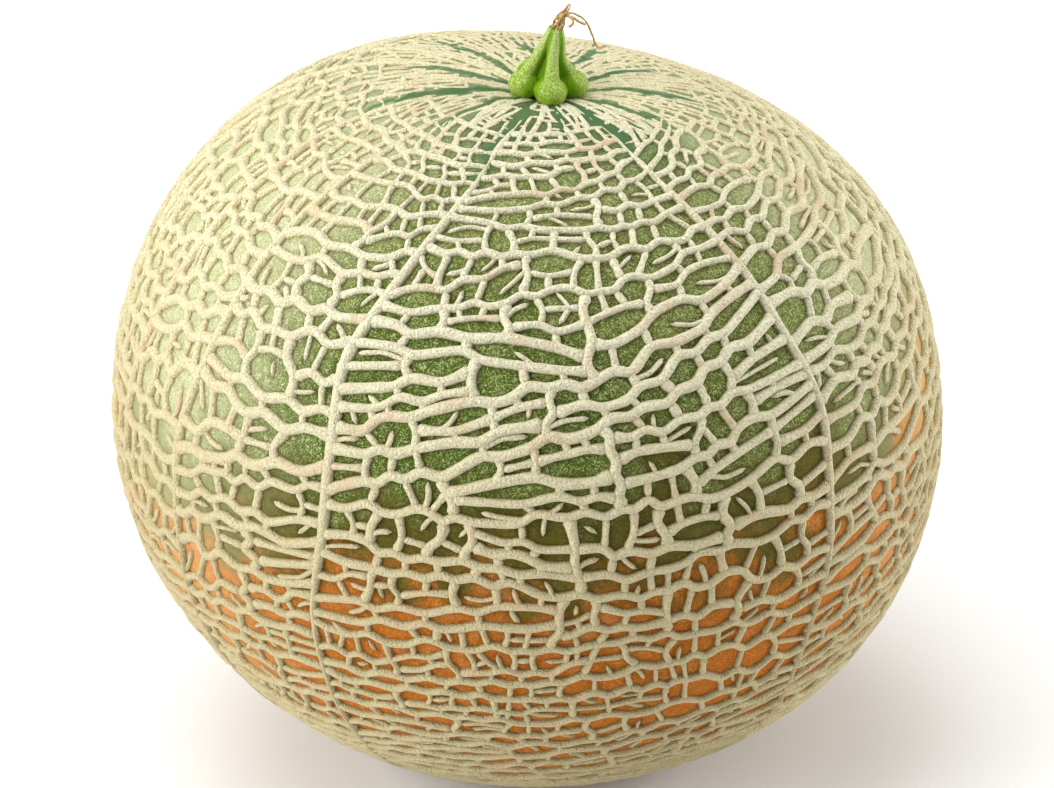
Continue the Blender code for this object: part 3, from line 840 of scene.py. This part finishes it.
class Nodes:
    """Adds shader nodes to a material and joins them."""

    def __init__(self, name):
        self.material = bpy.data.materials.new(name)
        self.material.use_nodes = True
        self.tree = self.material.node_tree
        self.place = self.add("TexCoord", {}, "Object")

    def put(self, socket, value):
        if isinstance(value, bpy.types.NodeSocket):
            self.tree.links.new(value, socket)
        elif value is not None:
            socket.default_value = (*value, 1.0) if socket.type == "RGBA" else value

    def add(self, kind, inputs, output, **settings):
        """Adds a node with its settings and inputs, and returns one of its outputs."""
        node = self.tree.nodes.new("ShaderNode" + kind)
        for key, setting in settings.items():
            setattr(node, key, setting)
        for key, value in inputs.items():
            self.put(node.inputs[key], value)
        return node.outputs[output]

    def noise(self, scale, detail=2.0, rough=0.5, distortion=0.0):
        inputs = {"Vector": self.place, "Scale": scale, "Detail": detail, "Roughness": rough}
        return self.add("TexNoise", {**inputs, "Distortion": distortion}, "Fac")

    def value(self, name):
        return self.add("Attribute", {}, "Fac", attribute_name=name)

    def ramp(self, value, low, high, out_low=0.0, out_high=1.0):
        inputs = dict(enumerate((value, low, high, out_low, out_high)))
        return self.add("MapRange", inputs, "Result", interpolation_type="SMOOTHSTEP")

    def plus(self, first, second):
        return self.add("Math", {0: first, 1: second}, "Value", operation="ADD")

    def times(self, first, second):
        return self.add("Math", {0: first, 1: second}, "Value", operation="MULTIPLY")

    def mix(self, share, first, second):
        return self.add("Mix", {"Factor": share, 6: first, 7: second}, 2, data_type="RGBA")

    def over(self, base, colour, value, low, high, share=1.0):
        """Lays a colour over another where a value goes from low to high, up to a share of it."""
        return self.mix(self.ramp(value, low, high, 0.0, share), base, colour)

    def bump(self, height, strength, distance):
        return self.add("Bump", {"Height": height, "Strength": strength, "Distance": distance}, "Normal")

    def finish(self, colour, roughness, normal=None, specular=0.3):
        inputs = self.tree.nodes["Principled BSDF"].inputs
        self.put(inputs["Base Color"], colour)
        self.put(inputs["Roughness"], roughness)
        self.put(inputs["Specular IOR Level"], specular)
        self.put(inputs["Normal"], normal)
        return self.material


def cork_material():
    """Dry granular cork: creamy, browner on the base, partly its own colour and partly painted shade,
    darker at the ridges' feet by painted shade, with pink scars.
    """
    colours = bpy.context.scene.melon_colours
    nodes = Nodes("cork")
    grain = nodes.noise(2000.0, 3.0, 0.6)
    pits = nodes.noise(3100.0, 1.0)
    patch = nodes.noise(150.0)
    pale = nodes.value("pale")
    creamy = nodes.over(colours.cork, colours.cork_cream, pale, 0.0, 1.0, 0.6)
    # Browner and darker lower down: partly the cork's own colour, partly painted shade
    base = nodes.over(creamy, colours.cork_low, nodes.value("low"), 0.26, 0.56)
    grained = nodes.over(base, colours.cork_dark, grain, 0.58, 0.36, 0.5)
    pitted = nodes.over(grained, colours.cork_dark, pits, 0.46, 0.34, 0.5)
    warm = nodes.times(nodes.ramp(nodes.value("tone"), 0.6, 1.0, 0.12, 0.55), nodes.ramp(patch, 0.46, 0.66))
    tinted = nodes.mix(warm, pitted, colours.cork_warm)
    # Painted shade at each ridge's foot, where it meets the skin, lighter where light is painted on the
    # sides
    foot = nodes.mix(pale, colours.cork_foot_shade, colours.cork_lit_foot_shade)
    coloured = nodes.over(tinted, foot, nodes.value("top"), 0.65, 0.0, 0.6)
    return nodes.finish(coloured, 0.85, nodes.bump(nodes.plus(grain, pits), 1.0, 0.0004), 0.15)


def skin_material():
    """Green speckled skin, painted paler at the sides as if lit, orange at the base, with dark stripes on
    the crown and painted shade beside the ridges.
    """
    colours = bpy.context.scene.melon_colours
    nodes = Nodes("skin")
    specks = nodes.noise(1200.0, 3.0, 0.62, 3.0)
    fine = nodes.noise(4200.0, 1.0)
    patch = nodes.noise(170.0, 3.0, 0.6)
    broad = nodes.noise(48.0)
    pale = nodes.value("pale")
    deep = nodes.plus(nodes.value("deep"), nodes.ramp(patch, 0.3, 0.7, -0.35, 0.35))
    ground = nodes.plus(nodes.value("ground"), nodes.ramp(patch, 0.25, 0.75, -0.12, 0.12))

    flesh = nodes.over(colours.skin_green, colours.skin_deep, deep, 0.2, 0.9)
    # Painted light: the skin and its specks made paler at the sides, on the shoulders and on the base
    light = nodes.mix(pale, colours.skin_light, colours.skin_palest)
    paled = nodes.mix(nodes.times(pale, 0.85), flesh, light)
    speckled = nodes.over(paled, light, specks, 0.52, 0.57, 0.9)
    fleck = nodes.mix(nodes.times(pale, 0.85), colours.skin_deep, colours.skin_light)
    darkened = nodes.over(speckled, fleck, specks, 0.485, 0.44, 0.85)

    # Painted light also makes the olive and the orange paler at the sides and on the base
    olive = nodes.mix(nodes.times(pale, 0.7), colours.skin_olive, colours.skin_light)
    browned = nodes.over(darkened, olive, ground, 0.15, 0.45, 0.85)
    rusty = nodes.over(colours.skin_orange, colours.skin_rust, specks, 0.53, 0.43, 0.75)
    orange = nodes.over(rusty, colours.skin_peach, specks, 0.54, 0.6, 0.22)
    mottled = nodes.over(orange, colours.skin_peach, patch, 0.52, 0.72, 0.25)
    peach = nodes.mix(nodes.times(pale, 0.75), mottled, colours.skin_peach)
    ripened = nodes.over(browned, peach, ground, 0.5, 0.8)

    # Painted shade: the skin darker beside the ridges, rust-brown where it is orange
    shade = nodes.over(colours.shade, colours.shade_low, ground, 0.4, 0.8)
    shaded = nodes.mix(nodes.times(nodes.value("near"), 0.85), ripened, shade)
    stripe = nodes.over(colours.stripe, colours.skin_green, broad, 0.3, 0.7, 0.35)
    striped = nodes.mix(nodes.value("stripe"), shaded, stripe)
    height = nodes.plus(specks, nodes.times(fine, 0.4))
    return nodes.finish(striped, 0.75, nodes.bump(height, 0.9, 0.0004), 0.08)


def net_points():
    """The middles of the ridges that are in the scene: points on their tops and their half-widths."""
    tops, half_widths = [], []
    for piece in bpy.data.objects:
        if piece.name.startswith("net_"):
            rings = corner_places(piece).reshape(-1, len(RIDGE_PROFILE), 3)
            tops.append(rings[:, 4])
            half_widths.append(np.linalg.norm(rings[:, 1] - rings[:, 7], axis=1) / 2)
    return np.concatenate(tops), np.concatenate(half_widths)


class MELON_OT_net(Operator):
    """Make the corky net as raised ridges on the skin"""

    bl_idname = "melon.net"
    bl_label = "Net"

    def execute(self, context):
        ridges = ridge_plan()
        material = cork_material()
        groups = defaultdict(list)
        for ridge in ridges:
            name = "net_" + ridge.group.replace("loose", "spur")
            if ridge.group in ("cross", "long"):
                middle = polar_of(Vector(ridge.path[len(ridge.path) // 2]))
                name += "_upper" if middle < BELT_POLAR else "_lower"
            groups[name].append(ridge)
        for name, members in sorted(groups.items()):
            corners, faces, values = lay_ridges(members)
            mesh = bpy.data.meshes.new(name)
            mesh.from_pydata(corners.tolist(), [], faces)
            piece = bpy.data.objects.new(name, mesh)
            context.scene.collection.objects.link(piece)
            dress(piece, material, values)
            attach(piece, "root")
            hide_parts("melon")
        return {"FINISHED"}


class MELON_OT_skin(Operator):
    """Make the fruit's skin under the net"""

    bl_idname = "melon.skin"
    bl_label = "Skin"

    def execute(self, context):
        bpy.ops.object.select_all(action="DESELECT")
        bpy.ops.mesh.primitive_cube_add(size=2)
        piece = context.object
        piece.name = piece.data.name = "skin"
        bpy.ops.object.mode_set(mode="EDIT")
        bpy.ops.mesh.select_all(action="SELECT")
        bpy.ops.mesh.subdivide(number_cuts=SKIN_CUTS)
        bpy.ops.object.mode_set(mode="OBJECT")
        directions = unit(np.tan(corner_places(piece) * (math.pi / 4)))
        points, normals = skin_points(directions), skin_normals(directions)
        tops, half_widths = net_points()
        tree = kdtree.KDTree(len(tops))
        for i, place in enumerate(tops.tolist()):
            tree.insert(place, i)
        tree.balance()
        away = np.empty(len(points))  # From each point to the side of the nearest ridge
        for i, place in enumerate(points.tolist()):
            _, nearest, distance = tree.find(place)
            away[i] = distance - half_widths[nearest]
        middle = ramp(away, 0.0, 0.0016) * crown_share(directions, 26.0)
        points += normals * (middle * 0.00018 - 0.00006)[:, None]
        piece.data.vertices.foreach_set("co", points.ravel())
        longitude, polar = longitudes(directions), polars(directions)

        # The polar angle where green turns to orange, higher up on the right and lower on the left
        edge = 82.0 - 18.0 * np.exp(-(((longitude - 86) / 24) ** 2))
        edge += 6.0 * np.exp(-(((longitude + 62) / 36) ** 2))
        wander = noises(directions, 6.0, 1.7) * 6.0 + noises(directions, 17.0, 4.7) * 4.0
        pale = painted_light_share(directions)
        values = {
            "ground": np.clip((polar + wander - edge + 20.0) / 40.0, 0.0, 1.0),
            "stripe": np.maximum(stripe_share(directions), 0.65 * (1 - crown_share(directions, 16.0))),
            # Painted shade beside each ridge, weaker where light is painted on the sides
            "near": (1 - ramp(away, 0.0001, 0.0009)) * (1 - 0.8 * pale),
            "deep": np.exp(-(((longitude + 16) / 40) ** 2) - ((polar - 70) / 27) ** 2),
            # Share of painted light, which the skin's colours read
            "pale": pale,
        }
        dress(piece, skin_material(), values)
        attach(piece, "root")
        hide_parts("melon")
        return {"FINISHED"}


def crown_frame():
    """The point where the stalk stands, the way that it points, and its right and its back."""
    pole = np.array([[0.0, 0.0, 1.0]])
    crown, axis = Vector(crest_points(pole)[0]), Vector(leaned(pole)[0])
    right = Vector((0.0, 1.0, 0.0)).cross(axis).normalized()
    return crown, axis, right, axis.cross(right)


def drawn_tube(points, radii, roundness=3):
    """A round tube along a smooth curve through the points, thick as the radii say."""
    data = bpy.data.curves.new("tube", "CURVE")
    data.dimensions = "3D"
    data.bevel_depth = 1.0
    data.bevel_resolution = roundness
    data.use_fill_caps = True
    spline = data.splines.new("BEZIER")
    spline.resolution_u = 6
    spline.bezier_points.add(len(points) - 1)
    for knot, point, radius in zip(spline.bezier_points, points, radii):
        knot.co = point
        knot.radius = radius
        knot.handle_left_type = knot.handle_right_type = "AUTO"
    tube = bpy.data.objects.new("tube", data)
    bpy.context.scene.collection.objects.link(tube)
    bpy.ops.object.select_all(action="DESELECT")
    tube.select_set(True)
    bpy.context.view_layer.objects.active = tube
    bpy.ops.object.convert(target="MESH")
    return bpy.context.object


def fuse(name, pieces, voxel, smoothing):
    """Joins solids into one rounded skin."""
    bpy.ops.object.select_all(action="DESELECT")
    for piece in pieces:
        piece.select_set(True)
    body = pieces[0]
    bpy.context.view_layer.objects.active = body
    bpy.ops.object.join()
    bpy.ops.object.transform_apply(location=True, rotation=True, scale=True)
    body.name = body.data.name = name
    remesh = body.modifiers.new("remesh", "REMESH")
    remesh.mode = "VOXEL"
    remesh.voxel_size = voxel
    smooth = body.modifiers.new("smooth", "SMOOTH")
    smooth.factor = 0.5
    smooth.iterations = smoothing
    for modifier in list(body.modifiers):
        bpy.ops.object.modifier_apply(modifier=modifier.name)
    return body


def roughened(piece, frequency, amount):
    """Moves every corner of a piece along its normal by smooth noise."""
    places = corner_places(piece)
    normals = np.empty(len(places) * 3)
    piece.data.vertices.foreach_get("normal", normals)
    places += normals.reshape(-1, 3) * (noises(places, frequency) * amount)[:, None]
    piece.data.vertices.foreach_set("co", places.ravel())
    piece.data.update()


def stalk_material():
    """Green skin, deeper in the grooves, under pale down that thins towards the bulbs."""
    colours = bpy.context.scene.melon_colours
    nodes = Nodes("stalk_skin")
    down = nodes.noise(3600.0, 2.0, 0.75, 0.6)
    patch = nodes.noise(700.0)
    neck = nodes.value("neck")
    flesh = nodes.over(colours.stalk, colours.stalk_deep, patch, 0.3, 0.7, 0.4)
    cover = nodes.times(nodes.ramp(down, 0.48, 0.57, 0.0, 0.7), nodes.ramp(neck, 0.0, 0.3, 0.2, 1.0))
    downy = nodes.mix(cover, flesh, colours.stalk_down)
    lifted = nodes.over(downy, colours.stalk_down, neck, 0.15, 1.0, 0.5)
    pitted = nodes.over(lifted, colours.stalk_deep, down, 0.46, 0.38, 0.75)
    coloured = nodes.over(pitted, colours.stalk_deep, nodes.value("groove"), 0.25, 0.8, 0.9)
    return nodes.finish(coloured, 0.65, nodes.bump(down, 1.0, 0.0005), 0.08)


def vine_material():
    """Dry brown fibres."""
    colours = bpy.context.scene.melon_colours
    nodes = Nodes("dry_vine")
    grain = nodes.noise(2600.0, 3.0, 0.65, 1.2)
    patch = nodes.noise(500.0)
    coloured = nodes.over(colours.vine, colours.vine_dark, grain, 0.62, 0.38, 0.8)
    warm = nodes.over(coloured, colours.vine, patch, 0.4, 0.7, 0.5)
    return nodes.finish(warm, 0.7, nodes.bump(grain, 0.8, 0.0002))


class MELON_OT_stalk(Operator):
    """Make the ribbed green stalk with a bulb at the foot of each rib"""

    bl_idname = "melon.stalk"
    bl_label = "Stalk"

    def execute(self, context):
        sizes = context.scene.melon_stalk
        crown, axis, right, back = crown_frame()

        def place(reach, turn, height):
            side = right * math.sin(turn) - back * math.cos(turn)
            bend = right * sizes.bend * max(0.0, height / STALK_HEIGHT) ** 2
            return crown + axis * height + side * reach + bend

        pieces = []
        for i in range(sizes.ribs):
            turn = math.radians(sizes.front_turn) + 2 * math.pi * i / sizes.ribs
            bulb = place(sizes.bulb_reach * BULB_SHARES[i], turn, sizes.bulb_height)
            bpy.ops.mesh.primitive_uv_sphere_add(
                segments=48, ring_count=24, radius=sizes.bulb_radius, location=bulb, scale=(1.0, 1.0, 0.88)
            )
            pieces.append(context.object)
            route = []
            for reach, height, _ in RIB_ROUTE:
                hug = RIB_HUGS[i] * math.exp(-(((height - 7.0) / 2.6) ** 2))
                hug = max(hug, (1 - BULB_SHARES[i]) * (height < 6))
                route.append(place(reach * (1 - hug) * MM, turn, height * MM))
            pieces.append(drawn_tube(route, [radius * MM for _, _, radius in RIB_ROUTE], 8))
        core = [place(0.0, 0.0, height * MM) for height, _ in CORE_ROUTE]
        pieces.append(drawn_tube(core, [radius * MM for _, radius in CORE_ROUTE], 10))
        piece = fuse("stalk_body", pieces, sizes.voxel, 4)
        places = corner_places(piece) - np.array(crown)
        height = places @ np.array(axis)
        bends = np.outer(np.clip(height / STALK_HEIGHT, 0, 2) ** 2, right) * sizes.bend
        flat = places - height[:, None] * np.array(axis) - bends
        angle = np.arctan2(flat @ np.array(right), -flat @ np.array(back)) - math.radians(sizes.front_turn)
        reach = np.linalg.norm(flat, axis=1)
        crest = np.interp(height / MM, CREST_HEIGHTS, CREST_REACHES)
        between = 0.5 - 0.5 * np.cos(angle * sizes.ribs)
        values = {
            "groove": np.clip(between * 1.1 + (1 - reach / (crest * MM)) * 0.9 - 0.25, 0, 1),
            "neck": np.clip(height / STALK_HEIGHT, 0, 1),
        }
        roughened(piece, 900.0, 0.00006)
        dress(piece, stalk_material(), values)
        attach(piece, "root")
        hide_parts("stalk")
        return {"FINISHED"}


class MELON_OT_vine(Operator):
    """Make the withered vine end: a frayed sheath, a long tendril and two short strands"""

    bl_idname = "melon.vine"
    bl_label = "Vine end"

    def execute(self, context):
        crown = crown_frame()[0]
        rng = random.Random(context.scene.melon_stalk.seed)
        pieces = []
        for route, radius in zip(VINE_STRANDS, VINE_RADII):
            points = [crown + Vector(point) * MM for point in route]
            pieces.append(drawn_tube(points, [radius * MM] * len(points)))
        for i in range(SHEATH_FIBRES):
            turn = 2 * math.pi * i / SHEATH_FIBRES
            stop = rng.choice((3, 4, 4, 5, 5, 6))
            flare = rng.uniform(0.9, 1.5) if i % 4 == 0 else 0.9
            points, radii = [], []
            for j, (x, y, z, radius) in enumerate(SHEATH[:stop]):
                spread = radius * rng.uniform(0.6, 1.1) * (flare if j == stop - 1 else 1.0)
                around = turn + 0.5 * j + rng.uniform(-0.5, 0.5)
                rise = z + rng.uniform(-0.25, 0.25)
                place = (x + spread * math.sin(around), y - spread * math.cos(around), rise)
                points.append(crown + Vector(place) * MM)
                radii.append(rng.uniform(0.1, 0.2) * (0.45 if j == stop - 1 else 1.0) * MM)
            pieces.append(drawn_tube(points, radii))
        core = [crown + Vector(point[:3]) * MM for point in SHEATH[:4]]
        pieces.append(drawn_tube(core, [0.45 * point[3] * MM for point in SHEATH[:4]]))
        piece = fuse("vine_fibres", pieces, context.scene.melon_stalk.vine_voxel, 1)
        roughened(piece, 1700.0, 0.00009)
        dress(piece, vine_material(), {})
        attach(piece, "root")
        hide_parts("vine_end")
        return {"FINISHED"}


class MELON_OT_stage(Operator):
    """Set the floor, the camera and the lights"""

    bl_idname = "melon.stage"
    bl_label = "Stage"

    def execute(self, context):
        stage = context.scene.melon_stage
        bpy.ops.object.select_all(action="DESELECT")
        bpy.ops.mesh.primitive_plane_add(size=stage.floor_size)
        floor = context.object
        floor.name = "floor"
        floor.data.materials.append(Nodes("floor_white").finish((0.9, 0.9, 0.9), 0.9))
        centre = Vector(fruit_centre())
        lift = math.radians(stage.elevation)
        back = Vector((0.0, -math.cos(lift), math.sin(lift)))
        bpy.ops.object.camera_add(location=centre + back * stage.distance)
        camera = context.object
        camera.rotation_euler = (math.radians(90 - stage.elevation), 0.0, 0.0)
        view = camera.data
        width = PHOTO_WIDTH * stage.pixel * MM
        view.sensor_width = 36.0
        view.lens = 36.0 * stage.distance / width
        view.shift_x = (PHOTO_WIDTH / 2 - stage.centre_x) / PHOTO_WIDTH
        view.shift_y = (stage.centre_y - PHOTO_HEIGHT / 2) / PHOTO_WIDTH
        context.scene.camera = camera
        self.light("top", (-0.3, 0.2, 1.5), 1.3, stage.top_power)
        self.light("key", (-1.1, -0.5, 0.6), 0.8, stage.key_power)
        self.light("rim", (1.2, 0.3, 0.4), 0.6, stage.rim_power)
        world = bpy.data.worlds.new("sky")
        world.use_nodes = True
        background = world.node_tree.nodes["Background"].inputs
        background["Color"].default_value = (1.0, 1.0, 1.0, 1.0)
        background["Strength"].default_value = stage.sky
        context.scene.world = world
        context.scene.view_settings.view_transform = "Standard"
        return {"FINISHED"}

    def light(self, name, place, size, power):
        """A square soft light that faces the fruit."""
        data = bpy.data.lights.new(name, "AREA")
        data.size = size
        data.energy = power
        lamp = bpy.data.objects.new(name, data)
        lamp.location = place
        lamp.rotation_mode = "QUATERNION"
        lamp.rotation_quaternion = (Vector(place) - Vector(fruit_centre())).to_track_quat("Z", "Y")
        bpy.context.scene.collection.objects.link(lamp)


class MELON_PT_panel(Panel):
    """Buttons for each piece of the melon"""

    bl_label = "Netted melon"
    bl_space_type = "VIEW_3D"
    bl_region_type = "UI"
    bl_category = "Melon"

    def draw(self, context):
        for operator in OPERATORS:
            self.layout.operator(operator.bl_idname)
        for name in GROUPS:
            group, box = getattr(context.scene, name), self.layout.box()
            for key in group.bl_rna.properties.keys():
                if key not in ("rna_type", "name"):
                    box.prop(group, key)


OPERATORS = (MELON_OT_net, MELON_OT_skin, MELON_OT_stalk, MELON_OT_vine, MELON_OT_stage)
GROUPS = {
    "melon_fruit": MelonFruit,
    "melon_net": MelonNet,
    "melon_stalk": MelonStalk,
    "melon_colours": MelonColours,
    "melon_stage": MelonStage,
}


def register():
    for kind in (*GROUPS.values(), *OPERATORS, MELON_PT_panel):
        bpy.utils.register_class(kind)
    for name, kind in GROUPS.items():
        setattr(bpy.types.Scene, name, PointerProperty(type=kind))


def unregister():
    for name in GROUPS:
        delattr(bpy.types.Scene, name)
    for kind in reversed((*GROUPS.values(), *OPERATORS, MELON_PT_panel)):
        bpy.utils.unregister_class(kind)


def main():
    register()
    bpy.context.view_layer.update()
    bpy.ops.melon.net()
    bpy.ops.melon.skin()
    bpy.ops.melon.stalk()
    bpy.ops.melon.vine()
    bpy.ops.melon.stage()


if __name__ == "__main__":
    main()
